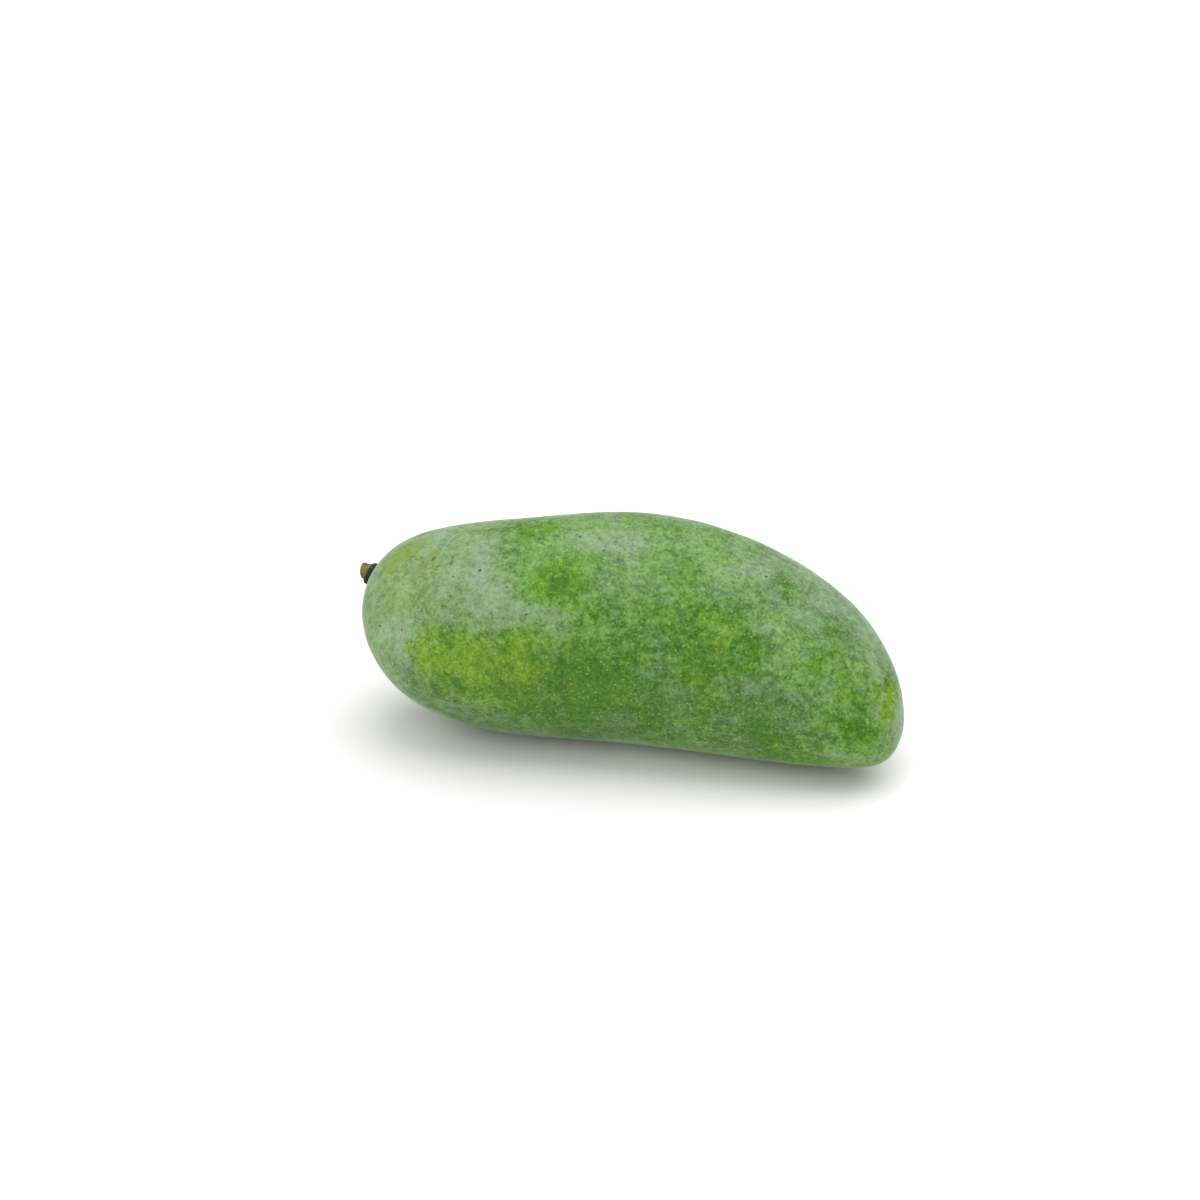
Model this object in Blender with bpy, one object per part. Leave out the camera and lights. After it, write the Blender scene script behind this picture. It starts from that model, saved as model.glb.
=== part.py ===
"""A whole green mango with the stub of its stalk, lying on one cheek, at its real size in metres.

The fruit is made in a frame of its own first: X runs from the stem end to the apex, Z towards
the convex back and Y through the thickness. It is then leaned and pitched to lie on the
surface Z = 0, where the skin is pressed to a small flat spot.
"""

import math

import bmesh
import bpy
import numpy as np
from mathutils import Matrix, Vector

MM = 0.001

# The broad profile in millimetres, as (along the fruit, towards the back).
STEM_POLE = (-79.0, 4.5)
BACK = (
    (-73.0, 13.6),
    (-58.0, 21.3),
    (-36.0, 28.0),
    (-8.0, 36.0),
    (20.0, 36.3),
    (46.0, 28.8),
    (65.5, 14.8),
    (76.0, -3.4),
)
APEX_POLE = (77.0, -8.0)
BELLY = (
    (-78.5, -10.2),
    (-64.0, -27.0),
    (-40.0, -32.5),
    (-10.0, -29.2),
    (18.0, -26.4),
    (42.0, -25.2),
    (62.0, -23.5),
    (74.5, -19.0),
)

# Thickness as a share of the profile's depth, which falls towards the apex.
ROUNDNESS_AT_STEM = 0.95
ROUNDNESS_AT_APEX = 0.80
SECTION_POWER = 2.1
BACK_FULLNESS = 0.05

# The shallow hollow round the stalk, and the socket that the stalk grows from.
CAVITY_RADIUS = 8.0
CAVITY_DEPTH = 0.5
SOCKET_RADIUS = 3.9
SOCKET_DEPTH = 3.1
SOCKET_TAPER = 0.92
# Two rings this share of the length from the stem pole give the stalk's direction.
POLE_SHARE = 0.01

# The stalk stub's outline from its foot to its cut end, as (height, radius). Heights are above
# the fruit's undented surface at the stem pole, and the foot clears the socket's floor. A thick
# collar sits over the mouth of the socket, and a narrower neck stands on it.
STUB_OUTLINE = (
    (-3.4, 2.6),
    (-3.0, 2.85),
    (-1.2, 2.9),
    (0.4, 3.25),
    (1.6, 3.35),
    (2.1, 2.9),
    (2.6, 2.45),
    (3.8, 2.2),
    (4.15, 1.95),
)
STUB_DISH = 0.3
STUB_RIDGES = 7
STUB_RIDGE_HEIGHT = 0.06
# The stub leans and stands off the pole a little, towards the belly when these are below zero.
STUB_LEAN = -4.4
STUB_OFFSET = -0.29
# The cut rises by this much a millimetre towards its high side, which is turned from the back.
STUB_SLANT = 0.375
STUB_SLANT_TURN = -28.0
STUB_COLLAR_TOP = 1.9

# How the fruit lies: the cheek's turn about the long axis, and the drop of the apex.
LEAN = 30.0
PITCH = 5.5
FLAT_DEPTH = 0.5

SIDES = 56
BODY_RINGS = 44
SHOULDER_RINGS = 5
SHOULDER_REACH = 11.7
RING_CROWDING = 0.5
STUB_SIDES = 28
BRANCH_SAMPLES = 1200
CUT_TOLERANCE = 1e-6
SHARP_ANGLE = 35.0

SKIN_GREEN = (0.16, 0.30, 0.08, 1.0)
SKIN_ROUGHNESS = 0.5
BARK_BROWN = (0.10, 0.085, 0.05, 1.0)
BARK_ROUGHNESS = 0.85


def loop_through(points):
    """A closed line of smooth curvature through the points, as a function of distance.

    Returns that function and the distance of each point.
    """
    points = np.array(points)
    count = len(points)
    spans = np.linalg.norm(np.roll(points, -1, axis=0) - points, axis=1)
    marks = np.concatenate([[0.0], np.cumsum(spans)])
    matrix = np.zeros((count, count))
    turns = np.zeros_like(points)
    for i in range(count):
        before, after = spans[i - 1], spans[i]
        following = (i + 1) % count
        matrix[i, i - 1] += before
        matrix[i, i] += 2.0 * (before + after)
        matrix[i, following] += after
        turns[i] = 6.0 * ((points[following] - points[i]) / after - (points[i] - points[i - 1]) / before)
    bends = np.linalg.solve(matrix, turns)

    def place(distance):
        i = np.clip(np.searchsorted(marks, distance, side="right") - 1, 0, count - 1)
        j = (i + 1) % count
        span = spans[i][:, None]
        left = (marks[i + 1] - distance)[:, None]
        right = (distance - marks[i])[:, None]
        curved = (bends[i] * left**3 + bends[j] * right**3) / (6.0 * span)
        from_left = (points[i] / span - bends[i] * span / 6.0) * left
        from_right = (points[j] / span - bends[j] * span / 6.0) * right
        return curved + from_left + from_right

    return place, marks


class Profile:
    """The back and the belly of the fruit, each running from the stem pole to the apex pole."""

    def __init__(self):
        outline = [STEM_POLE, *BACK, APEX_POLE, *reversed(BELLY)]
        place, marks = loop_through(outline)
        apex = marks[len(BACK) + 1]
        self.back = place(np.linspace(0.0, apex, BRANCH_SAMPLES))
        self.belly = place(np.linspace(marks[-1], apex, BRANCH_SAMPLES))

    def at(self, share):
        """The back and belly points at a share of each branch's length."""
        found = []
        for branch in (self.back, self.belly):
            steps = np.linalg.norm(np.diff(branch, axis=0), axis=1)
            length = np.concatenate([[0.0], np.cumsum(steps)])
            found.append(np.array([np.interp(share * length[-1], length, axis) for axis in branch.T]))
        return found

    def branch_length(self):
        return float(np.linalg.norm(np.diff(self.back, axis=0), axis=1).sum())


def stem_axis(profile):
    """The stem pole, and the outward, upward and sideways directions there."""
    back, belly = profile.at(POLE_SHARE)
    up = Vector((back[0] - belly[0], 0.0, back[1] - belly[1])).normalized()
    out = Vector((-up.z, 0.0, up.x))
    return Vector((STEM_POLE[0], 0.0, STEM_POLE[1])), out, up, Vector((0.0, 1.0, 0.0))


def section(profile, share):
    """One ring round the fruit at a share of the way from the stem pole to the apex."""
    back, belly = profile.at(share)
    centre, half = (back + belly) / 2.0, (back - belly) / 2.0
    falloff = (ROUNDNESS_AT_STEM - ROUNDNESS_AT_APEX) * share**2
    thickness = float(np.linalg.norm(half)) * (ROUNDNESS_AT_STEM - falloff)
    ring = []
    for i in range(SIDES):
        angle = math.tau * i / SIDES
        across, aside = math.cos(angle), math.sin(angle)
        reach = (abs(across) ** SECTION_POWER + abs(aside) ** SECTION_POWER) ** (-1.0 / SECTION_POWER)
        x, z = centre + half * across * reach
        y = thickness * aside * reach * (1.0 + BACK_FULLNESS * across)
        ring.append(Vector((x, y, z)))
    return ring


def dented(point, pole, out):
    """The point moved inwards where it lies in the hollow round the stalk."""
    offset = point - pole
    radius = (offset - out * offset.dot(out)).length
    if radius >= CAVITY_RADIUS or offset.dot(out) < -CAVITY_RADIUS:
        return point
    share = (1.0 - (radius / CAVITY_RADIUS) ** 2) ** 2
    return point - out * CAVITY_DEPTH * share


def solid_from_rings(name, rings, first_pole, last_pole):
    """A closed mesh through rings of equally many points, closed by a fan to a pole at each end."""
    mesh = bmesh.new()
    loops = [[mesh.verts.new(point * MM) for point in ring] for ring in rings]
    for ring, following in zip(loops, loops[1:]):
        for i in range(len(ring)):
            j = (i + 1) % len(ring)
            mesh.faces.new((ring[i], ring[j], following[j], following[i]))
    for pole, ring in ((first_pole, loops[0]), (last_pole, loops[-1])):
        tip = mesh.verts.new(pole * MM)
        for i in range(len(ring)):
            mesh.faces.new((tip, ring[i], ring[(i + 1) % len(ring)]))
    bmesh.ops.recalc_face_normals(mesh, faces=mesh.faces)
    data = bpy.data.meshes.new(name)
    made = bpy.data.objects.new(name, data)
    bpy.context.scene.collection.objects.link(made)
    return mesh, made


def finish(mesh, made, material):
    """Stores the mesh on its object, smooth shaded, with the material."""
    mesh.to_mesh(made.data)
    mesh.free()
    made.data.shade_smooth()
    made.data.set_sharp_from_angle(angle=math.radians(SHARP_ANGLE))
    made.data.materials.append(material)


def surface_material(name, colour, roughness):
    material = bpy.data.materials.new(name)
    material.use_nodes = True
    shader = material.node_tree.nodes["Principled BSDF"]
    shader.inputs["Base Color"].default_value = colour
    shader.inputs["Roughness"].default_value = roughness
    shader.inputs["Metallic"].default_value = 0.0
    return material


def ring_shares(profile):
    """Shares of the length for the rings, closest round the stalk and closer at both ends of the body."""
    length = profile.branch_length()
    mouth = SOCKET_RADIUS / length
    shoulder = SHOULDER_REACH / length
    near = np.linspace(mouth, shoulder, SHOULDER_RINGS, endpoint=False)
    even = np.linspace(0.0, 1.0, BODY_RINGS, endpoint=False)
    crowded = even - RING_CROWDING * np.sin(math.tau * even) / math.tau
    return [*near, *(shoulder + (1.0 - shoulder) * crowded)]


def lying_matrix():
    """The turn from the fruit's own frame to the way it lies, without its place."""
    lean = Matrix.Rotation(math.radians(LEAN - 90.0), 4, "X")
    pitch = Matrix.Rotation(math.radians(PITCH), 4, "Y")
    return pitch @ lean


def make_fruit(profile, turn):
    """The fruit with its socket, cut to a flat spot, and the height of its lowest uncut point."""
    pole, out, _, _ = stem_axis(profile)
    sections = [section(profile, share) for share in ring_shares(profile)]
    rings = [[dented(point, pole, out) for point in ring] for ring in sections]
    mouth = rings[0]
    middle = sum(mouth, Vector()) / len(mouth)
    wall = [middle + (point - middle) * SOCKET_TAPER - out * SOCKET_DEPTH for point in mouth]
    floor = middle - out * SOCKET_DEPTH
    apex = Vector((APEX_POLE[0], 0.0, APEX_POLE[1]))
    mesh, fruit = solid_from_rings("fruit", [wall, *rings], floor, apex)

    lowest = min((turn @ vert.co).z for vert in mesh.verts)
    ground = lowest + FLAT_DEPTH * MM
    down = turn.inverted() @ Vector((0.0, 0.0, -1.0))
    cut = bmesh.ops.bisect_plane(
        mesh,
        geom=[*mesh.verts, *mesh.edges, *mesh.faces],
        plane_co=down * -ground,
        plane_no=down,
        dist=CUT_TOLERANCE,
        clear_outer=True,
    )
    rim = [item for item in cut["geom_cut"] if isinstance(item, bmesh.types.BMEdge)]
    bmesh.ops.contextual_create(mesh, geom=rim)
    bmesh.ops.recalc_face_normals(mesh, faces=mesh.faces)
    finish(mesh, fruit, surface_material("skin", SKIN_GREEN, SKIN_ROUGHNESS))
    return fruit, ground


def make_stem(profile):
    """The stub of the stalk: a ridged collar and neck with a slanting, dished cut end."""
    pole, out, up, side = stem_axis(profile)
    slope = math.tan(math.radians(STUB_LEAN))
    high_side = math.radians(STUB_SLANT_TURN)
    top = STUB_OUTLINE[-1][0]

    def middle_at(height):
        return pole + out * height + up * (STUB_OFFSET + slope * max(height, 0.0))

    rings = []
    for height, radius in STUB_OUTLINE:
        slant = STUB_SLANT * max(height - STUB_COLLAR_TOP, 0.0) / (top - STUB_COLLAR_TOP)
        ring = []
        for i in range(STUB_SIDES):
            angle = math.tau * i / STUB_SIDES
            reach = radius + STUB_RIDGE_HEIGHT * math.sin(STUB_RIDGES * angle)
            across = up * math.cos(angle) + side * math.sin(angle)
            rise = out * slant * math.cos(angle - high_side)
            ring.append(middle_at(height) + (across + rise) * reach)
        rings.append(ring)
    bottom = middle_at(STUB_OUTLINE[0][0])
    dish = middle_at(top) - out * STUB_DISH
    mesh, stem = solid_from_rings("stem", rings, bottom, dish)
    finish(mesh, stem, surface_material("bark", BARK_BROWN, BARK_ROUGHNESS))
    return stem


def lay_down(pieces, turn, ground):
    """Turns the pieces to the way the fruit lies, over the middle of their common box."""
    corners = [turn @ vert.co for piece in pieces for vert in piece.data.vertices]
    middle_x = (min(c.x for c in corners) + max(c.x for c in corners)) / 2.0
    middle_y = (min(c.y for c in corners) + max(c.y for c in corners)) / 2.0
    place = Matrix.Translation((-middle_x, -middle_y, -ground)) @ turn
    for piece in pieces:
        piece.matrix_world = place


def main():
    for old in list(bpy.data.objects):
        bpy.data.objects.remove(old)
    profile = Profile()
    turn = lying_matrix()
    fruit, ground = make_fruit(profile, turn)
    stem = make_stem(profile)
    lay_down([fruit, stem], turn, ground)


main()
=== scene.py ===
"""A whole green mango with the stub of its stalk, lying on one cheek on a plain white floor.

The skin is built finely over the fixed model's own form, with low relief, a puckered hollow round
the stalk and a small scar at the apex. The stub has ridged bark and a dished cut face.
"""

import math

import bpy
import numpy as np
from mathutils import Matrix, Vector, noise


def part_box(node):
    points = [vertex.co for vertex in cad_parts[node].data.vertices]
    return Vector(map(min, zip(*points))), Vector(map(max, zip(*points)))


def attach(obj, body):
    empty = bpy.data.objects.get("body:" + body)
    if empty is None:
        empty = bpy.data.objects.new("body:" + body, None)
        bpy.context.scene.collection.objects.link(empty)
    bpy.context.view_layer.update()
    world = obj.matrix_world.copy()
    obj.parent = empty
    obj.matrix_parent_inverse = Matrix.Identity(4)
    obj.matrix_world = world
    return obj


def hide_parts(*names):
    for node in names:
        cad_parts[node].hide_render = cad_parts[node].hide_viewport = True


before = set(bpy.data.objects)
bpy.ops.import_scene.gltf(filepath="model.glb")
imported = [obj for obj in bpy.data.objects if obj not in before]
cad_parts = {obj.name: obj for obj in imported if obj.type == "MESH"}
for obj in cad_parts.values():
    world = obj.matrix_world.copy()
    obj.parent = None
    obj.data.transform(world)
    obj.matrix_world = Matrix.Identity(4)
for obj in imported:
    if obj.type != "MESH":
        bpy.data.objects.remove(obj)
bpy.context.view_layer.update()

MM = 0.001

# The broad profile in millimetres, as (along the fruit, towards the back).
STEM_POLE = (-79.0, 4.5)
BACK = (
    (-73.0, 13.6),
    (-58.0, 21.3),
    (-36.0, 28.0),
    (-8.0, 36.0),
    (20.0, 36.3),
    (46.0, 28.8),
    (65.5, 14.8),
    (76.0, -3.4),
)
APEX_POLE = (77.0, -8.0)
BELLY = (
    (-78.5, -10.2),
    (-64.0, -27.0),
    (-40.0, -32.5),
    (-10.0, -29.2),
    (18.0, -26.4),
    (42.0, -25.2),
    (62.0, -23.5),
    (74.5, -19.0),
)
# The share of the length at which the fruit's direction at the stem pole is taken.
POLE_SHARE = 0.01

# Thickness as a share of the profile's depth, which falls towards the apex.
ROUNDNESS_AT_STEM = 0.95
ROUNDNESS_AT_APEX = 0.80
SECTION_POWER = 2.1
BACK_FULLNESS = 0.05

# How the fruit lies: the cheek's turn about the long axis, and the drop of the apex, in degrees.
LEAN = 30.0
PITCH = 5.5
# How deep its cheek is pressed flat, and how softly the flat spot ends.
FLAT_DEPTH = 0.5
FLAT_SOFTNESS = 0.12
# The heights between which the pressing against the floor sets in.
PRESS_HEIGHTS = (3.0, 1.0)

# How far the noise is shifted along each axis from one seed to the next.
SEED_STEPS = (17.3, 5.9, 11.1)

# The hollow round the stalk, and the mouth that the stalk comes out of.
CAVITY_RADIUS = 8.0
CAVITY_DEPTH = 0.5
MOUTH_RADIUS = 3.5
# Its radial puckers, which start a little outside the mouth and swing about as they run out.
PUCKERS = 11
PUCKER_HEIGHT = 0.13
PUCKER_REACH = 7.5
PUCKER_START = 0.4
PUCKER_SWING = 2.2
# The noise behind that swing, as (wavelength, height, seed).
PUCKER_WANDER = (7.0, 0.9, 3)
# Broader folds among the puckers, as (how many, phase, share of the height).
BROAD_FOLDS = (5.0, 1.3, 0.5)
# The lip and wall inside the mouth, as (share of the mouth's radius, depth below it).
MOUTH_WALL = ((0.965, 0.14), (0.94, 0.45), (0.925, 1.1), (0.91, 2.5), (0.80, 2.8), (0.45, 2.9))
MOUTH_FLOOR = 2.95

# The scar at the apex.
SCAR_RADIUS = 1.1
SCAR_DEPTH = 0.22
# Its raised edge, as (distance, width, height) in shares of its radius and depth.
SCAR_EDGE = (1.35, 0.35, 0.35)

# Low relief of the skin, as (wavelength, height, seed) in millimetres.
RELIEF = ((36.0, 0.30, 1), (15.0, 0.16, 2), (6.5, 0.06, 3), (2.6, 0.02, 4))
# The distances from the stem pole between which the relief sets in.
RELIEF_FADE = (3.0, 12.0)

# The skin's mesh: points round it, rings along it, how much closer the rings lie at both ends, and
# how near the apex the last one is.
SIDES = 232
RINGS = 296
RING_CROWDING = 0.45
APEX_FAN = 0.5
# Points along the back and along the belly, from which the rings' places are read.
BRANCH_SAMPLES = 2400
# The share of the map that each end's fan of faces takes.
CHART_MARGIN = 0.02

# The stalk stub, in millimetres from the undented skin at the stem pole: a thick collar over the
# mouth, a narrower neck and a slanting cut.
STUB_RADII = (
    (-3.4, 2.60),
    (-3.0, 2.80),
    (-1.4, 2.84),
    (-1.0, 3.00),
    (-0.6, 3.18),
    (0.0, 3.27),
    (0.6, 3.33),
    (1.3, 3.38),
    (1.7, 3.28),
    (2.1, 2.85),
    (2.5, 2.45),
    (3.2, 2.25),
    (3.8, 2.20),
    (4.02, 2.14),
    (4.15, 1.98),
)
STUB_FOOT = -3.4
STUB_RIM = 3.9
STUB_TOP = 4.15
STUB_SIDES = 96
STUB_RINGS = 56
RIM_RINGS = 7
# Rings of the cut face, as (first share of its radius, last share, how many).
CUT_SHARES = (0.95, 0.05, 22)
# How the stub leans, in degrees, and how far it drifts aside, between which heights.
STUB_LEAN = -4.4
STUB_OFFSET = -0.29
STUB_DRIFT = (-1.2, 1.2)
# The slope of its cut, the turn of the high side in degrees, and where the slope starts.
STUB_SLANT = 0.375
STUB_SLANT_TURN = -28.0
STUB_COLLAR_TOP = 1.9
# The steps in height over which the radii are averaged below the rim.
STUB_SOFTENING = (-0.16, -0.08, 0.0, 0.08, 0.16)

# The bark's relief, from noises that are drawn out along the stub, as (wavelength, height, seed).
BARK_ROUND = 3.0
BARK_ALONG = 0.22
BARK_RIDGES = (0.85, 0.16, 31)
BARK_FINE_RIDGES = (0.4, 0.07, 32)
BARK_CRACKS = (1.1, -0.22, 33)
CRACK_WIDTH = 0.09
BARK_KNOBS = (1.3, 0.12, 34)
# Knobs are drawn out less, by this factor.
KNOB_SHORTENING = 4.5
# The heights between which the bark's relief sets in.
BARK_SHOWN = (-0.7, 0.3)

# The cut face: how far it is dished, its growth rings, its pith and its roughness.
CUT_DISH = 0.28
CUT_MIDDLE_DROP = 0.5
GROWTH_SPACING = 0.55
GROWTH_HEIGHT = 0.05
PITH_RADIUS = 0.38
PITH_DEPTH = 0.25
CUT_ROUGHNESS = (0.55, 0.07, 35)
# The height that the material is given all over the cut face, well above the bark.
CUT_MARK = 9.0


def loop_through(points):
    """A closed line of smooth curvature through the points, as a function of distance.

    Returns that function and the distance of each point.
    """
    points = np.array(points)
    count = len(points)
    spans = np.linalg.norm(np.roll(points, -1, axis=0) - points, axis=1)
    marks = np.concatenate([[0.0], np.cumsum(spans)])
    matrix = np.zeros((count, count))
    turns = np.zeros_like(points)
    for i in range(count):
        before, after = spans[i - 1], spans[i]
        following = (i + 1) % count
        matrix[i, i - 1] += before
        matrix[i, i] += 2.0 * (before + after)
        matrix[i, following] += after
        ahead = (points[following] - points[i]) / after
        behind = (points[i] - points[i - 1]) / before
        turns[i] = 6.0 * (ahead - behind)
    bends = np.linalg.solve(matrix, turns)

    def place(distance):
        i = np.clip(np.searchsorted(marks, distance, side="right") - 1, 0, count - 1)
        j = (i + 1) % count
        span = spans[i][:, None]
        left = (marks[i + 1] - distance)[:, None]
        right = (distance - marks[i])[:, None]
        curved = (bends[i] * left**3 + bends[j] * right**3) / (6.0 * span)
        from_left = (points[i] / span - bends[i] * span / 6.0) * left
        from_right = (points[j] / span - bends[j] * span / 6.0) * right
        return curved + from_left + from_right

    return place, marks


class Profile:
    """The back and the belly of the fruit, each running from the stem pole to the apex pole."""

    def __init__(self):
        outline = [STEM_POLE, *BACK, APEX_POLE, *reversed(BELLY)]
        place, marks = loop_through(outline)
        apex = marks[len(BACK) + 1]
        self.back = place(np.linspace(0.0, apex, BRANCH_SAMPLES))
        self.belly = place(np.linspace(marks[-1], apex, BRANCH_SAMPLES))

    def at(self, shares):
        """The back and belly points at shares of each branch's length."""
        found = []
        for branch in (self.back, self.belly):
            steps = np.linalg.norm(np.diff(branch, axis=0), axis=1)
            length = np.concatenate([[0.0], np.cumsum(steps)])
            wanted = shares * length[-1]
            found.append(np.stack([np.interp(wanted, length, axis) for axis in branch.T], axis=1))
        return found

    def branch_length(self):
        """The length of the back from pole to pole."""
        return float(np.linalg.norm(np.diff(self.back, axis=0), axis=1).sum())


def skin_points(profile, shares, turns):
    """Points on the undented skin, one row for each share of the length, in millimetres."""
    back, belly = profile.at(shares)
    centre, half = (back + belly) / 2.0, (back - belly) / 2.0
    falloff = (ROUNDNESS_AT_STEM - ROUNDNESS_AT_APEX) * shares**2
    thickness = np.linalg.norm(half, axis=1) * (ROUNDNESS_AT_STEM - falloff)
    across, aside = np.cos(turns), np.sin(turns)
    spread = np.abs(across) ** SECTION_POWER + np.abs(aside) ** SECTION_POWER
    reach = spread ** (-1.0 / SECTION_POWER)
    points = np.empty((len(shares), len(turns), 3))
    points[:, :, 0] = centre[:, :1] + half[:, :1] * (across * reach)
    points[:, :, 1] = thickness[:, None] * (aside * reach * (1.0 + BACK_FULLNESS * across))
    points[:, :, 2] = centre[:, 1:] + half[:, 1:] * (across * reach)
    return points


def stem_axis(profile):
    """The stem pole, and the outward, upward and sideways directions there."""
    back, belly = (points[0] for points in profile.at(np.array([POLE_SHARE])))
    up = np.array([back[0] - belly[0], 0.0, back[1] - belly[1]])
    up /= np.linalg.norm(up)
    out = np.array([-up[2], 0.0, up[0]])
    return np.array([STEM_POLE[0], 0.0, STEM_POLE[1]]), out, up, np.array([0.0, 1.0, 0.0])


def grid_normals(points):
    """Outward unit normals of a grid of rings."""
    along = np.gradient(points, axis=0)
    around = np.roll(points, -1, axis=1) - np.roll(points, 1, axis=1)
    normals = np.cross(around, along)
    normals /= np.maximum(np.linalg.norm(normals, axis=2, keepdims=True), 1e-12)
    middle = points.mean(axis=(0, 1))
    outward = np.einsum("ijk,ijk->", normals, points - middle)
    return normals if outward > 0.0 else -normals


def noise_at(points, wavelength, seed):
    """Smooth noise between about -1 and 1 at every point of a grid."""
    shift = Vector([seed * step for step in SEED_STEPS])
    flat = points.reshape(-1, 3) / wavelength
    values = [noise.noise(Vector(point) + shift) for point in flat]
    return np.array(values).reshape(points.shape[:-1])


def waves(points, wavelength, height, seed):
    """Waves of the given height, from smooth noise."""
    return height * noise_at(points, wavelength, seed)


def smooth_step(value, low, high):
    """Zero at low, one at high, and a smooth rise between them."""
    share = np.clip((value - low) / (high - low), 0.0, 1.0)
    return share * share * (3.0 - 2.0 * share)


def ring_shares(profile):
    """Shares of the length for the rings, closer together at both ends."""
    length = profile.branch_length()
    first, last = MOUTH_RADIUS / length, 1.0 - APEX_FAN / length
    even = np.linspace(0.0, 1.0, RINGS)
    crowded = even - RING_CROWDING * np.sin(math.tau * even) / math.tau
    return first + (last - first) * crowded


def dent_for_stalk(points, pole, out, turns):
    """The skin drawn in round the stalk, with puckers that run out from it."""
    offset = points - pole
    radius = np.linalg.norm(offset - (offset @ out)[..., None] * out, axis=-1)
    near = (radius < CAVITY_RADIUS) & (np.linalg.norm(offset, axis=-1) < 2.0 * CAVITY_RADIUS)
    hollow = np.where(near, (1.0 - (radius / CAVITY_RADIUS) ** 2) ** 2, 0.0) * CAVITY_DEPTH
    swing = PUCKER_SWING * waves(points, *PUCKER_WANDER)
    folds = np.cos(PUCKERS * turns[None, :] + swing)
    count, phase, height = BROAD_FOLDS
    folds = folds + height * np.cos(count * turns[None, :] + phase)
    fade = np.where(near, smooth_step(radius, PUCKER_REACH, MOUTH_RADIUS + PUCKER_START), 0.0)
    return points + out * (PUCKER_HEIGHT * folds * fade - hollow)[..., None]


def relief_of(points):
    """Low waves of the skin along its normals."""
    return sum(waves(points, *settings) for settings in RELIEF)


def scar_of(points, apex):
    """The small sunk scar at the apex, with a faint raised edge."""
    radius = np.linalg.norm(points - apex, axis=-1) / SCAR_RADIUS
    distance, width, height = SCAR_EDGE
    edge = height * np.exp(-(((radius - distance) / width) ** 2))
    return SCAR_DEPTH * (edge - np.exp(-(radius**2)))


def lying_matrix(skin):
    """The turn and shift from the fruit's own frame to the way the fixed model lies."""
    lean = Matrix.Rotation(math.radians(LEAN - 90.0), 4, "X")
    pitch = Matrix.Rotation(math.radians(PITCH), 4, "Y")
    turn = np.array(pitch @ lean)[:3, :3]
    turned = skin.reshape(-1, 3) @ turn.T
    low, high = turned.min(axis=0), turned.max(axis=0)
    box_low, box_high = (np.array(corner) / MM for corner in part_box("fruit"))
    shift = (box_low + box_high - low - high) / 2.0
    shift[2] = -low[2] - FLAT_DEPTH
    return turn, shift


def pressed_flat(points):
    """The points with the underside pressed softly against the floor."""
    height = points[..., 2]
    pressed = (height + np.sqrt(height**2 + FLAT_SOFTNESS**2)) / 2.0
    blend = smooth_step(height, *PRESS_HEIGHTS)
    points = points.copy()
    points[..., 2] = height + (pressed - height) * blend
    points[..., 2] -= points[..., 2].min()
    return points


def faces_of(count, sides):
    """Faces round a stack of rings, with a fan to a point at each end."""
    quads = []
    for i in range(count - 1):
        start, following = i * sides, (i + 1) * sides
        for j in range(sides):
            k = (j + 1) % sides
            quads.append((start + j, start + k, following + k, following + j))
    first, last = count * sides, count * sides + 1
    base = (count - 1) * sides
    near_fan = [(first, (j + 1) % sides, j) for j in range(sides)]
    far_fan = [(last, base + j, base + (j + 1) % sides) for j in range(sides)]
    return quads + near_fan + far_fan


def chart_of(rings):
    """The length-by-turn map of the same faces, corner by corner."""
    count, sides = rings.shape[:2]
    steps = np.linalg.norm(np.diff(rings, axis=0), axis=2).mean(axis=1)
    along = np.concatenate([[0.0], np.cumsum(steps)]) / steps.sum()
    along = CHART_MARGIN + (1.0 - 2.0 * CHART_MARGIN) * along
    edges = [(j / sides, (j + 0.5) / sides, (j + 1) / sides) for j in range(sides)]
    chart = []
    for near, far in zip(along[:-1], along[1:]):
        for left, _, right in edges:
            chart += [(near, left), (near, right), (far, right), (far, left)]
    for left, middle, right in edges:
        chart += [(0.0, middle), (along[0], right), (along[0], left)]
    for left, middle, right in edges:
        chart += [(1.0, middle), (along[-1], left), (along[-1], right)]
    return np.array(chart, np.float32)


def mesh_from_rings(name, rings, first_pole, last_pole, attributes):
    """A closed object through rings of equally many points.

    Each attribute is an array of one value for every ring point, kept for the material. The poles
    take the mean of the ring beside them.
    """
    count, sides = rings.shape[:2]
    vertices = np.concatenate([rings.reshape(-1, 3), [first_pole, last_pole]]) * MM
    data = bpy.data.meshes.new(name)
    data.from_pydata(vertices.tolist(), [], faces_of(count, sides))
    layer = data.uv_layers.new(name="OFBake")
    layer.uv.foreach_set("vector", chart_of(rings).ravel())

    for key, values in attributes.items():
        kind, field = ("FLOAT_VECTOR", "vector") if values.ndim == 3 else ("FLOAT", "value")
        ends = np.stack([values[0].mean(axis=0), values[-1].mean(axis=0)])
        flat = np.concatenate([values.reshape(count * sides, -1), ends.reshape(2, -1)])
        attribute = data.attributes.new(key, kind, "POINT")
        attribute.data.foreach_set(field, flat.astype(np.float32).ravel())
    data.validate()
    data.update()
    data.shade_smooth()
    made = bpy.data.objects.new(name, data)
    bpy.context.scene.collection.objects.link(made)
    return made


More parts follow.
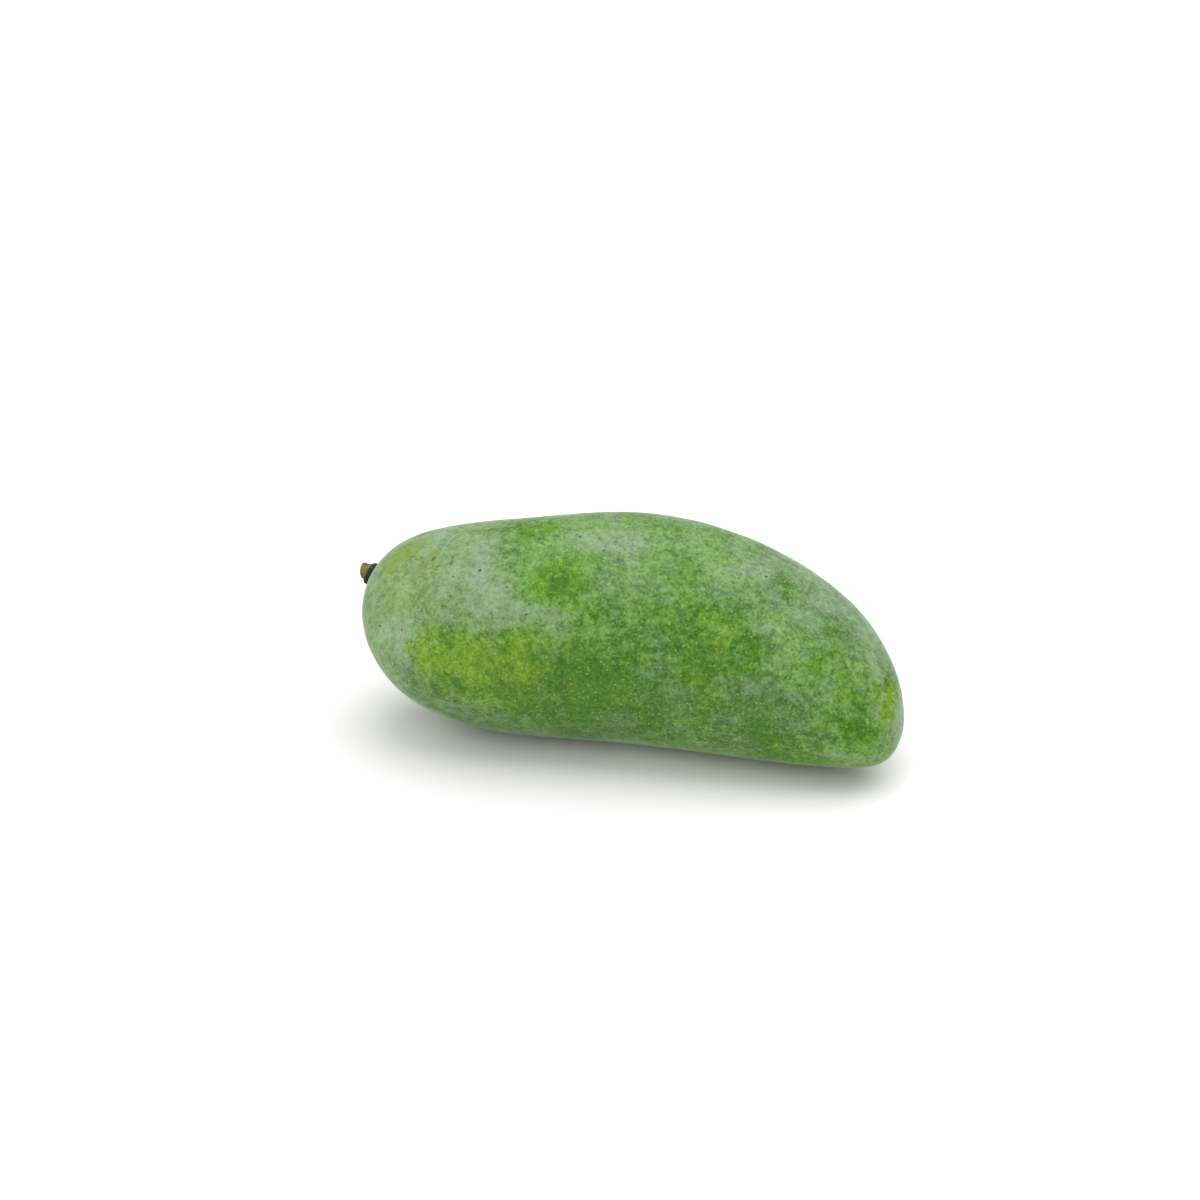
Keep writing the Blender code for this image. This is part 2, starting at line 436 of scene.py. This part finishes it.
# Soft patches of the skin, as (share of the length, turn from the back in degrees, size in
# millimetres, bloom, yellowing, deepening). Bloom below zero is rubbed bare. The deepening is
# partly the skin's darker green and partly painted shade on the lower cheek and the underside.
PATCHES = (
    (0.22, 270, 26, 0.12, 0.0, 0.0),
    (0.18, 255, 24, 0.00, 0.22, 0.0),
    (0.28, 260, 8, 0.13, 0.0, 0.0),
    (0.35, 237, 3.5, 0.20, 0.0, 0.0),
    (0.18, 220, 6, 0.21, 0.0, 0.0),
    (0.10, 230, 7, 0.10, 0.0, 0.0),
    (0.16, 295, 8, 0.15, 0.0, 0.0),
    (0.25, 290, 5, 0.11, 0.0, 0.0),
    (0.30, 248, 6, 0.10, 0.0, 0.0),
    (0.27, 196, 6, 0.10, 0.0, 0.1),
    (0.40, 280, 7, 0.11, 0.0, 0.0),
    (0.47, 292, 10, 0.15, 0.0, 0.0),
    (0.41, 242, 6, 0.08, 0.0, 0.0),
    (0.57, 239, 3, 0.11, 0.0, 0.0),
    (0.545, 240, 7, 0.08, 0.0, 0.0),
    (0.65, 305, 14, 0.14, 0.0, 0.0),
    (0.75, 314, 10, 0.17, 0.0, 0.0),
    (0.86, 302, 9, 0.17, 0.0, 0.0),
    (0.85, 328, 8, 0.20, 0.12, 0.0),
    (0.97, 280, 6, 0.24, 0.0, 0.0),
    (0.96, 245, 5, 0.10, 0.0, 0.0),
    (0.73, 222, 8, 0.07, 0.0, 0.2),
    (0.90, 238, 4, 0.09, 0.0, 0.0),
    (0.30, 60, 24, 0.14, 0.0, 0.0),
    (0.70, 40, 20, 0.14, 0.0, 0.0),
    (0.50, 140, 16, 0.10, 0.0, 0.0),
    (0.40, 261, 5.8, -0.60, 0.06, 0.38),
    (0.27, 211, 8, -0.35, 0.25, 0.0),
    (0.38, 212, 11, -0.30, 0.24, 0.0),
    (0.13, 270, 5, -0.15, 0.30, 0.0),
    (0.16, 237, 5, -0.05, 0.20, 0.0),
    (0.31, 297, 7, -0.30, 0.12, 0.0),
    (0.38, 228, 4, -0.20, 0.20, 0.0),
    (0.325, 222, 6, -0.24, 0.14, 0.0),
    (0.52, 225, 16, -0.12, 0.07, 0.0),
    (0.66, 247, 13, -0.22, 0.05, 0.0),
    (0.71, 294, 4, -0.30, 0.0, 0.1),
    (0.79, 284, 5, -0.15, 0.10, 0.0),
    (0.925, 280, 3.4, -0.42, 0.24, 0.0),
    (0.935, 258, 3.0, -0.28, 0.14, 0.0),
    (0.92, 296, 3.0, -0.28, 0.18, 0.0),
    (0.90, 268, 9.0, 0.08, 0.16, 0.0),
    (0.89, 220, 5, -0.25, 0.0, 0.2),
    (0.85, 250, 6, -0.15, 0.09, 0.0),
    (0.25, 20, 10, -0.30, 0.25, 0.0),
    (0.60, 80, 13, -0.30, 0.12, 0.1),
    (0.80, 150, 10, -0.30, 0.20, 0.0),
    # Painted shade: deepening along the lower cheek and on the underside.
    (0.57, 205, 15, -0.15, 0.0, 0.60),
    (0.75, 200, 14, -0.12, 0.0, 0.55),
    (0.44, 190, 14, -0.10, 0.0, 0.50),
    (0.30, 190, 12, -0.05, 0.0, 0.35),
    (0.45, 110, 20, 0.00, 0.0, 0.25),
)
# How far the patches' outlines wander in millimetres, and the noise behind it.
PATCH_WANDER = 3.5
PATCH_WANDER_WAVE = 9.0
PATCH_SEEDS = (41, 42, 43)


def patches_on(points, profile):
    """The summed bloom, yellowing and deepening of the patches at every point of the skin; the
    deepening is partly painted shade.
    """
    wander = np.stack([noise_at(points, PATCH_WANDER_WAVE, seed) for seed in PATCH_SEEDS], axis=-1)
    moved = points + PATCH_WANDER * wander
    total = np.zeros((*points.shape[:2], 3))
    for share, turn, size, *strengths in PATCHES:
        centre = skin_points(profile, np.array([share]), np.array([math.radians(turn)]))[0, 0]
        distance = np.linalg.norm(moved - centre, axis=-1)
        total += np.exp(-((distance / size) ** 2))[..., None] * np.array(strengths)
    return total


def make_fruit(profile, turns):
    """The skin, and the turn and shift that lay it down."""
    pole, out, _, _ = stem_axis(profile)
    apex = np.array([APEX_POLE[0], 0.0, APEX_POLE[1]])
    shares = ring_shares(profile)
    plain = skin_points(profile, shares, turns)
    normals = grid_normals(plain)
    turn, shift = lying_matrix(plain)

    skin = dent_for_stalk(plain, pole, out, turns)
    fade = smooth_step(np.linalg.norm(plain - pole, axis=-1), *RELIEF_FADE)
    skin = skin + normals * (relief_of(plain) * fade + scar_of(plain, apex))[..., None]
    mouth = skin[0]
    middle = mouth.mean(axis=0)
    wall = reversed(MOUTH_WALL)
    inside = [middle + (mouth - middle) * share - out * depth for share, depth in wall]
    rings = np.concatenate([inside, skin])
    floor = middle - out * MOUTH_FLOOR
    tip = apex - np.array([SCAR_DEPTH, 0.0, 0.0])

    patches = patches_on(plain, profile)
    patches = np.concatenate([np.repeat(patches[:1], len(inside), axis=0), patches])
    attributes = {name: patches[..., i] for i, name in enumerate(("bloom", "yellow", "deep_green_and_shade"))}
    laid = pressed_flat(rings @ turn.T + shift)
    made = mesh_from_rings("mango_skin", laid, turn @ floor + shift, turn @ tip + shift, attributes)
    return made, turn, shift


def stub_reaches(heights, turns):
    """How far the bark stands out from the stub's middle, one row for each height."""
    known = np.array(STUB_RADII).T
    softened = np.mean([np.interp(heights + step, *known) for step in STUB_SOFTENING], axis=0)
    radii = np.where(heights < STUB_RIM, softened, np.interp(heights, *known))
    rounds = (np.cos(turns) * BARK_ROUND, np.sin(turns) * BARK_ROUND)
    lines = np.stack(np.broadcast_arrays(*rounds, heights[:, None] * BARK_ALONG), axis=-1)
    ridges = waves(lines, *BARK_RIDGES) + waves(lines, *BARK_FINE_RIDGES)
    wavelength, depth, seed = BARK_CRACKS
    cracks = depth * smooth_step(np.abs(noise_at(lines, wavelength, seed)), CRACK_WIDTH, 0.0)
    knobs = waves(lines * np.array([1.0, 1.0, KNOB_SHORTENING]), *BARK_KNOBS)
    shown = smooth_step(heights, *BARK_SHOWN)[:, None]
    return radii[:, None] + (ridges + cracks + knobs) * shown


def make_stub(profile, turn, shift):
    """The stub of the stalk: ridged bark and a dished cut face with growth rings and a pith."""
    pole, out, up, side = stem_axis(profile)
    body = np.linspace(STUB_FOOT, STUB_RIM, STUB_RINGS)
    heights = np.concatenate([body, np.linspace(STUB_RIM, STUB_TOP, RIM_RINGS)[1:]])
    turns = np.linspace(0.0, math.tau, STUB_SIDES, endpoint=False)
    across, aside = np.cos(turns), np.sin(turns)
    high_side = np.cos(turns - math.radians(STUB_SLANT_TURN))
    rings, grain = [], []

    def middle_at(height):
        bend = math.tan(math.radians(STUB_LEAN)) * max(height, 0.0)
        drift = STUB_OFFSET * smooth_step(height, *STUB_DRIFT)
        return pole + out * height + up * (drift + bend)

    def place(height, reaches, lift, mark):
        slant = STUB_SLANT * max(height - STUB_COLLAR_TOP, 0.0) / (STUB_TOP - STUB_COLLAR_TOP)
        spread = across[:, None] * up + aside[:, None] * side
        ring = middle_at(height) + spread * reaches[:, None]
        rings.append(ring + (lift + slant * reaches * high_side)[:, None] * out)
        marks = np.full(STUB_SIDES, mark)
        grain.append(np.stack([across * reaches, aside * reaches, marks], axis=-1))

    bark = stub_reaches(heights, turns)
    for height, reaches in zip(heights, bark):
        place(height, reaches, np.zeros(STUB_SIDES), height)
    edge = bark[-1]
    cut_shares = np.linspace(*CUT_SHARES)
    marks = np.full(STUB_SIDES, CUT_MARK)
    for share in cut_shares:
        radius = share * edge.mean()
        growth = GROWTH_HEIGHT * math.cos(math.tau * radius / GROWTH_SPACING)
        pith = -PITH_DEPTH * math.exp(-((radius / PITH_RADIUS) ** 2))
        dish = -CUT_DISH * (1.0 - share**2)
        own = np.stack([across * radius, aside * radius, marks], axis=-1)
        rough = waves(own[None], *CUT_ROUGHNESS)[0]
        place(STUB_TOP, edge * share, dish + growth + pith + rough, CUT_MARK)
    rings, grain = np.array(rings), np.array(grain)
    bottom = turn @ middle_at(STUB_FOOT) + shift
    top = turn @ (middle_at(STUB_TOP) - out * CUT_MIDDLE_DROP) + shift
    face = np.concatenate([np.zeros(len(heights)), np.ones(len(cut_shares))])
    attributes = {"grain": grain, "cut": np.broadcast_to(face[:, None], grain.shape[:2])}
    return mesh_from_rings("stalk_stub", rings @ turn.T + shift, bottom, top, attributes)


class Paint:
    """A material's nodes, made and linked by short calls."""

    def __init__(self, name):
        self.material = bpy.data.materials.new(name)
        self.material.use_nodes = True
        self.tree = self.material.node_tree
        self.shader = self.tree.nodes["Principled BSDF"]

    def fill(self, node, inputs):
        """Link each socket that is given, and set each plain value."""
        for key, value in inputs.items():
            if isinstance(value, bpy.types.NodeSocket):
                self.tree.links.new(value, node.inputs[key])
            else:
                node.inputs[key].default_value = value
        return node

    def add(self, kind, inputs, **settings):
        node = self.tree.nodes.new(kind)
        for name, value in settings.items():
            setattr(node, name, value)
        return self.fill(node, inputs)

    def place(self):
        """The point's own place in the object, in metres."""
        return self.add("ShaderNodeTexCoord", {}).outputs["Object"]

    def stored(self, name, output="Fac"):
        """A value kept on the mesh."""
        return self.add("ShaderNodeAttribute", {}, attribute_name=name).outputs[output]

    def calculate(self, operation, a, b):
        return self.add("ShaderNodeMath", {0: a, 1: b}, operation=operation).outputs[0]

    def plus(self, a, b):
        return self.calculate("ADD", a, b)

    def minus(self, a, b):
        return self.calculate("SUBTRACT", a, b)

    def times(self, a, b):
        return self.calculate("MULTIPLY", a, b)

    def add_swings(self, value, noises, strengths):
        """The value with noises around 0.5 added, each turned to lie around zero and scaled."""
        for name, strength in strengths.items():
            swing = self.times(self.minus(noises[name], 0.5), strength)
            value = self.plus(value, swing)
        return value

    def noise_node(self, vector, size, detail=2.0, rough=0.5, distortion=0.0):
        """Noise around 0.5 whose features are about size wide, in the vector's unit."""
        inputs = {"Vector": vector, "Scale": 1.0 / size, "Detail": detail, "Roughness": rough}
        return self.add("ShaderNodeTexNoise", {**inputs, "Distortion": distortion})

    def noise(self, vector, *settings):
        return self.noise_node(vector, *settings).outputs["Fac"]

    def jog(self, vector, size, reach):
        """The vector, moved about by up to half the reach each way."""
        random = self.noise_node(vector, size).outputs["Color"]
        random = self.vector("SUBTRACT", random, (0.5, 0.5, 0.5))
        return self.vector("ADD", vector, self.scaled(random, reach))

    def step(self, value, low, high, at_low=0.0, at_high=1.0):
        """A smooth change from one result at low to another at high."""
        ends = {"From Min": low, "From Max": high, "To Min": at_low, "To Max": at_high}
        inputs = {"Value": value, **ends}
        node = self.add("ShaderNodeMapRange", inputs, interpolation_type="SMOOTHSTEP")
        return node.outputs["Result"]

    def mix(self, factor, a, b):
        """Colour a turned into colour b by the factor."""
        node = self.add("ShaderNodeMix", {}, data_type="RGBA")
        # Sockets 6 and 7 and output 2 are those for colours.
        return self.fill(node, {0: factor, 6: a, 7: b}).outputs[2]

    def cells(self, vector, size):
        """The distance to the nearest of scattered points, and two random values for each point.

        The distance is in cells.
        """
        node = self.add("ShaderNodeTexVoronoi", {"Vector": vector, "Scale": 1.0 / size})
        apart = self.add("ShaderNodeSeparateColor", {"Color": node.outputs["Color"]})
        return node.outputs["Distance"], apart.outputs[0], apart.outputs[1]

    def stretch(self, vector, scale):
        return self.add("ShaderNodeMapping", {"Vector": vector, "Scale": scale}).outputs[0]

    def vector(self, operation, a, b, output="Vector"):
        """A calculation on two vectors, whose output is Value for a distance or a dot product."""
        return self.add("ShaderNodeVectorMath", {0: a, 1: b}, operation=operation).outputs[output]

    def scaled(self, vector, factor):
        inputs = {0: vector, "Scale": factor}
        return self.add("ShaderNodeVectorMath", inputs, operation="SCALE").outputs["Vector"]

    def from_segment(self, place, start, end):
        """The distance in metres from a short straight line, whose ends are in millimetres."""
        start, end = Vector(start) * MM, Vector(end) * MM
        line = end - start
        offset = self.vector("SUBTRACT", place, tuple(start))
        dot = self.vector("DOT_PRODUCT", offset, tuple(line / line.length_squared), "Value")
        share = self.add("ShaderNodeClamp", {"Value": dot}).outputs[0]
        return self.vector("DISTANCE", offset, self.scaled(tuple(line), share), "Value")

    def bump(self, height, distance):
        """A normal that follows the height, in metres for a height of one."""
        inputs = {"Height": height, "Distance": distance}
        return self.add("ShaderNodeBump", inputs).outputs["Normal"]

    def finish(self, inputs):
        """Fill the shader's own sockets, and hand over the material."""
        self.fill(self.shader, inputs)
        return self.material


def colour(red, green, blue):
    return (red, green, blue, 1.0)


DEEP_GREEN = colour(0.052, 0.162, 0.006)
MID_GREEN = colour(0.112, 0.277, 0.013)
YELLOW_GREEN = colour(0.200, 0.352, 0.013)
BLOOM = colour(0.36, 0.43, 0.37)
DOT_PALE = colour(0.27, 0.46, 0.15)
SPECK_BROWN = colour(0.028, 0.034, 0.010)
RUB_OLIVE = colour(0.19, 0.26, 0.03)
SCAB_BROWN = colour(0.06, 0.06, 0.02)
SHEEN_TINT = colour(0.85, 0.95, 0.85)

# Short marks in the skin, as (one end, the other end, half width, strength, colour) in millimetres.
MARKS = (
    ((-59.0, -7.0, 53.6), (-66.5, -11.0, 48.5), 6.5, 0.58, RUB_OLIVE),
    ((-66.5, -15.0, 43.5), (-61.0, -23.0, 41.5), 5.0, 0.35, RUB_OLIVE),
    ((-52.6, -13.0, 55.2), (-57.4, -18.8, 50.6), 3.0, 0.80, RUB_OLIVE),
    ((-52.4, -14.8, 54.6), (-54.4, -17.2, 53.0), 0.9, 0.9, SCAB_BROWN),
    ((-47.4, -15.4, 55.8), (-46.6, -17.6, 55.1), 0.8, 0.9, SCAB_BROWN),
    ((61.2, -12.4, 38.6), (65.0, -15.6, 34.4), 0.8, 0.7, SCAB_BROWN),
    ((20.0, 30.0, 28.0), (27.0, 29.0, 33.0), 1.0, 0.7, SCAB_BROWN),
)
# How far the marks' outlines wander, and the size of the noise behind it, in metres.
MARK_WANDER = 0.0025
MARK_WANDER_SIZE = 0.003

# Noises of the skin, as (size in metres, detail, roughness, distortion).
SKIN_NOISES = {
    "broad": (0.028, 2.0, 0.5, 0.0),
    "middle": (0.008, 3.0, 0.55, 0.3),
    "small": (0.0022, 3.0, 0.6, 0.0),
    "grain": (0.0008, 3.0, 0.65, 0.0),
    "hue": (0.0042, 2.0, 0.5, 0.0),
    "film": (0.013, 4.0, 0.55, 0.4),
}
# Streaks in the bloom are drawn out along the fruit.
STREAKS = (0.0030, 3.0, 0.55, 0.6)
STREAK_STRETCH = (0.25, 1.0, 1.0)
# The spacing of the pale dots and of the dark specks, in metres.
DOT_CELL = 0.00110
SPECK_CELL = 0.0036

# How much of each noise goes into the mottling, hue and shade of the green, into the wax, and into
# the roughness and relief of the skin.
MIDDLE_IN_MOTTLE = 0.6
HUE_SWINGS = {"middle": 0.6, "hue": 0.5}
SMALL_IN_SHADE = 0.45
WAX_SWINGS = {"streaks": 0.38, "small": 0.42, "grain": 0.5}
SMALL_IN_ROUGHNESS = 0.08
SKIN_RELIEF = {"grain": 0.5, "small": 0.8}
DOT_RELIEF = 0.5
SKIN_BUMP = 0.00008
# The film of wax, as (the noise's weight, what is added).
FILM = (0.75, 0.125)

# Ranges of a value that change a look, as (low, high) or (low, high, result at low, at high).
MOTTLE_RANGE = (0.98, 1.54)
YELLOW_RANGE = (-0.02, 0.5, 0.0, 0.68)
SHADE_RANGE = (0.46, 1.00, 0.62, 1.36)
WAX_RANGE = (0.26, 1.10, 0.0, 0.76)
DOT_EDGE = (0.38, 0.12)
DOT_CHANCE = (0.25, 0.45)
DOT_TONE = (0.0, 1.0, 0.25, 0.9)
DOT_UNDER_WAX = (0.5, 0.1, 0.15, 0.7)
SPECK_EDGE = (0.135, 0.08)
SPECK_CHANCE = (0.30, 0.40)
SPECK_IN_WAX = (0.15, 0.40, 0.25, 0.95)
MARK_GRAIN = (0.35, 0.55, 0.2, 1.0)
ROUGHNESS_UNDER_WAX = (0.0, 0.7, 0.42, 0.62)


def green_ground(paint, noises):
    """The skin's mottled green, from dark green to yellow-green, darker still where the patches
    paint shade.
    """
    middle, small = noises["middle"], noises["small"]
    mottle_and_shade = paint.plus(paint.times(middle, MIDDLE_IN_MOTTLE), noises["broad"])
    # The stored deepening darkens the mottle: partly the skin's darker green, partly painted shade.
    mottle_and_shade = paint.plus(mottle_and_shade, paint.minus(small, paint.stored("deep_green_and_shade")))
    green = paint.mix(paint.step(mottle_and_shade, *MOTTLE_RANGE), DEEP_GREEN, MID_GREEN)
    yellowing = paint.add_swings(paint.stored("yellow"), noises, HUE_SWINGS)
    green = paint.mix(paint.step(yellowing, *YELLOW_RANGE), green, YELLOW_GREEN)
    shade = paint.plus(noises["grain"], paint.times(small, SMALL_IN_SHADE))
    inputs = {"Color": green, "Value": paint.step(shade, *SHADE_RANGE)}
    return paint.add("ShaderNodeHueSaturation", inputs).outputs["Color"]


def wax_on_skin(paint, noises):
    """How thick the pale wax bloom lies, from bare skin at zero."""
    weight, base = FILM
    film = paint.plus(paint.times(noises["film"], weight), base)
    wax = paint.add_swings(paint.plus(film, paint.stored("bloom")), noises, WAX_SWINGS)
    return paint.step(wax, *WAX_RANGE)


def skin_material():
    """Green skin, mottled, with painted shade on its lower side, a patchy wax bloom, pale pores and
    a few dark specks.
    """
    paint = Paint("mango_skin")
    place = paint.place()
    noises = {name: paint.noise(place, *settings) for name, settings in SKIN_NOISES.items()}
    noises["streaks"] = paint.noise(paint.stretch(place, STREAK_STRETCH), *STREAKS)
    wax = wax_on_skin(paint, noises)
    skin = paint.mix(wax, green_ground(paint, noises), BLOOM)

    near, chance, tone = paint.cells(place, DOT_CELL)
    dot = paint.times(paint.step(near, *DOT_EDGE), paint.step(chance, *DOT_CHANCE))
    dot_shown = paint.times(dot, paint.step(tone, *DOT_TONE))
    dot_shown = paint.times(dot_shown, paint.step(wax, *DOT_UNDER_WAX))
    skin = paint.mix(dot_shown, skin, DOT_PALE)

    near, chance, _ = paint.cells(place, SPECK_CELL)
    speck = paint.times(paint.step(near, *SPECK_EDGE), paint.step(chance, *SPECK_CHANCE))
    skin = paint.mix(paint.times(speck, paint.step(wax, *SPECK_IN_WAX)), skin, SPECK_BROWN)

    moved = paint.jog(place, MARK_WANDER_SIZE, MARK_WANDER)
    for start, end, width, strength, tint in MARKS:
        mark = paint.step(paint.from_segment(moved, start, end), width * MM, 0.0)
        mark = paint.times(mark, paint.step(noises["grain"], *MARK_GRAIN))
        skin = paint.mix(paint.times(mark, strength), skin, tint)

    rough = paint.times(noises["small"], SMALL_IN_ROUGHNESS)
    height = paint.minus(paint.times(dot, DOT_RELIEF), speck)
    for name, weight in SKIN_RELIEF.items():
        height = paint.plus(height, paint.times(noises[name], weight))
    return paint.finish({
        "Base Color": skin,
        "Roughness": paint.plus(paint.step(wax, *ROUGHNESS_UNDER_WAX), rough),
        "Normal": paint.bump(height, SKIN_BUMP),
        "Specular IOR Level": 0.25,
        "Sheen Weight": 0.42,
        "Sheen Roughness": 0.25,
        "Sheen Tint": SHEEN_TINT,
    })


BARK_DARK = colour(0.022, 0.020, 0.012)
BARK_PALE = colour(0.16, 0.15, 0.09)
BARK_OLIVE = colour(0.20, 0.21, 0.03)
SHADED_BARK_GREY = colour(0.07, 0.07, 0.05)
CUT_PALE = colour(0.24, 0.19, 0.10)
CUT_DARK = colour(0.10, 0.075, 0.04)
# The side of the stub darkened grey as painted shade, across the stub and aside.
SHADED_SIDE = (-0.88, 0.47, 0.0)

# Noises of the bark and the cut face, as (size in millimetres, detail, roughness).
BARK_LINES = (0.45, 3.0, 0.6)
BARK_BLOTCHES = (1.8, 2.0, 0.5)
CUT_GRAIN = (0.35, 3.0, 0.5)
LINE_STRETCH = (1.0, 1.0, 0.18)
CUT_RINGS = {"Scale": 0.6, "Distortion": 4.0, "Detail": 2.0}

# How much of them goes into the painted shade on one side, the dark edges, the cut's tone
# and the relief.
BLOTCHES_IN_SHADED_SIDE = 1.5
LINES_IN_EDGES = 1.2
RINGS_IN_CUT = 0.2
GRAIN_RELIEF = 0.4
BARK_BUMP = 0.0002

# Ranges of a value that change a look, as for the skin.
LINE_RANGE = (0.36, 0.66)
OLIVE_RANGE = (0.36, 0.56, 0.1, 0.85)
SHADED_SIDE_RANGE = (1.2, 2.8, 0.0, 0.8)
COLLAR_RANGE = (2.65, 1.55, 0.0, 0.95)
RIM_RANGE = (4.4, 4.8, 0.0, 0.6)
CUT_RANGE = (0.25, 0.95)
CUT_EDGE_RANGE = (1.55, 1.90, 0.0, 0.8)
PITH_RANGE = (0.45, 0.2, 0.0, 0.7)


def bark_colour(paint, grain, lines):
    """Olive bark with lengthwise streaks, painted grey shade on one side, and nearly black on the
    collar and at the rim.
    """
    blotch = paint.noise(grain, *BARK_BLOTCHES)
    bark = paint.mix(paint.step(lines, *LINE_RANGE), BARK_DARK, BARK_PALE)
    bark = paint.mix(paint.step(blotch, *OLIVE_RANGE), bark, BARK_OLIVE)
    # Painted shade: one side of the stub, broken up by blotches, turns grey.
    shaded_side = paint.vector("DOT_PRODUCT", grain, SHADED_SIDE, "Value")
    shaded_side = paint.plus(shaded_side, paint.times(blotch, BLOTCHES_IN_SHADED_SIDE))
    bark = paint.mix(paint.step(shaded_side, *SHADED_SIDE_RANGE), bark, SHADED_BARK_GREY)
    height = paint.add("ShaderNodeSeparateXYZ", {"Vector": grain}).outputs["Z"]
    ragged = paint.plus(height, paint.times(lines, LINES_IN_EDGES))
    bark = paint.mix(paint.step(ragged, *COLLAR_RANGE), bark, BARK_DARK)
    return paint.mix(paint.step(ragged, *RIM_RANGE), bark, BARK_DARK)


def cut_colour(paint, grain, cut_noise):
    """A dried brown cut with faint growth rings, dark at its edge and in the pith."""
    settings = {"wave_type": "RINGS", "rings_direction": "Z"}
    rings = paint.add("ShaderNodeTexWave", {"Vector": grain, **CUT_RINGS}, **settings)
    tone = paint.plus(paint.times(rings.outputs["Fac"], RINGS_IN_CUT), cut_noise)
    face = paint.mix(paint.step(tone, *CUT_RANGE), CUT_DARK, CUT_PALE)
    flat = paint.vector("MULTIPLY", grain, (1.0, 1.0, 0.0))
    radius = paint.add("ShaderNodeVectorMath", {0: flat}, operation="LENGTH").outputs["Value"]
    face = paint.mix(paint.step(radius, *CUT_EDGE_RANGE), face, BARK_DARK)
    return paint.mix(paint.step(radius, *PITH_RANGE), face, BARK_DARK)


def bark_material():
    """The stub's dry bark and its cut face."""
    paint = Paint("stalk_bark")
    grain = paint.stored("grain", "Vector")
    lines = paint.noise(paint.stretch(grain, LINE_STRETCH), *BARK_LINES)
    cut_noise = paint.noise(grain, *CUT_GRAIN)
    bark, face = bark_colour(paint, grain, lines), cut_colour(paint, grain, cut_noise)
    height = paint.plus(lines, paint.times(cut_noise, GRAIN_RELIEF))
    return paint.finish({
        "Base Color": paint.mix(paint.stored("cut"), bark, face),
        "Normal": paint.bump(height, BARK_BUMP),
        "Roughness": 0.85,
        "Specular IOR Level": 0.3,
    })


FLOOR_WHITE = colour(0.975, 0.945, 0.97)
FLOOR_HALF = 15.0


def make_floor():
    """A wide matt white floor."""
    white = {"Base Color": FLOOR_WHITE, "Roughness": 1.0, "Specular IOR Level": 0.0}
    data = bpy.data.meshes.new("floor")
    half = FLOOR_HALF
    corners = [(-half, -half, 0.0), (half, -half, 0.0), (half, half, 0.0), (-half, half, 0.0)]
    data.from_pydata(corners, [], [(0, 1, 2, 3)])
    data.materials.append(Paint("floor_white").finish(white))
    floor = bpy.data.objects.new("floor", data)
    bpy.context.scene.collection.objects.link(floor)


# The camera: what it looks at and from how far, in metres, its angles in degrees and its lens.
AIM = Vector((-0.00907, 0.0, 0.03916))
AZIMUTH = 14.14
ELEVATION = 28.0
DISTANCE = 0.9324
LENS = 100.0
SENSOR = 36.0
NEAREST = 0.05


def make_camera():
    """A camera in front of the fruit, a little to its right and above it."""
    data = bpy.data.cameras.new("camera")
    data.lens = LENS
    data.sensor_width = SENSOR
    data.clip_start = NEAREST
    camera = bpy.data.objects.new("camera", data)
    turn, rise = math.radians(AZIMUTH), math.radians(ELEVATION)
    level = math.cos(rise)
    away = Vector((math.sin(turn) * level, -math.cos(turn) * level, math.sin(rise)))
    camera.location = AIM + away * DISTANCE
    camera.rotation_euler = (-away).to_track_quat("-Z", "Y").to_euler()
    bpy.context.scene.collection.objects.link(camera)
    bpy.context.scene.camera = camera


# Soft distant lights, as (name, direction towards the light, strength, spread in degrees).
LIGHTS = (
    ("softbox_above", (0.20, 0.30, 0.93), 1.85, 70.0),
    ("softbox_front", (-0.43, -0.64, 0.64), 1.05, 90.0),
)
WORLD_STRENGTH = 0.54
WHITE = colour(1.0, 1.0, 1.0)


def make_lights():
    """Two very soft lights, an even dim surrounding and a white backdrop."""
    for name, towards, strength, spread in LIGHTS:
        data = bpy.data.lights.new(name, "SUN")
        data.energy = strength
        data.angle = math.radians(spread)
        light = bpy.data.objects.new(name, data)
        light.location = Vector(towards)
        light.rotation_euler = (-Vector(towards)).to_track_quat("-Z", "Y").to_euler()
        bpy.context.scene.collection.objects.link(light)
    world = bpy.data.worlds.new("studio")
    world.use_nodes = True
    tree = world.node_tree
    dim = tree.nodes["Background"]
    dim.inputs["Color"].default_value = WHITE
    dim.inputs["Strength"].default_value = WORLD_STRENGTH
    backdrop = tree.nodes.new("ShaderNodeBackground")
    backdrop.inputs["Color"].default_value = WHITE
    seen = tree.nodes.new("ShaderNodeLightPath")
    choose = tree.nodes.new("ShaderNodeMixShader")
    tree.links.new(seen.outputs["Is Camera Ray"], choose.inputs[0])
    tree.links.new(dim.outputs[0], choose.inputs[1])
    tree.links.new(backdrop.outputs[0], choose.inputs[2])
    tree.links.new(choose.outputs[0], tree.nodes["World Output"].inputs["Surface"])
    bpy.context.scene.world = world
    bpy.context.scene.view_settings.view_transform = "Standard"


def main():
    """Dress the fruit and the stub, and set the scene round them."""
    profile = Profile()
    # The turns run downward, so that the faces look outward.
    turns = np.linspace(math.tau, 0.0, SIDES, endpoint=False)
    skin, turn, shift = make_fruit(profile, turns)
    skin.data.materials.append(skin_material())
    stub = make_stub(profile, turn, shift)
    stub.data.materials.append(bark_material())
    for piece, node, slot in ((skin, "fruit", "skin"), (stub, "stem", "bark")):
        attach(piece, "root")
        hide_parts(node)
    make_floor()
    make_lights()
    make_camera()


main()
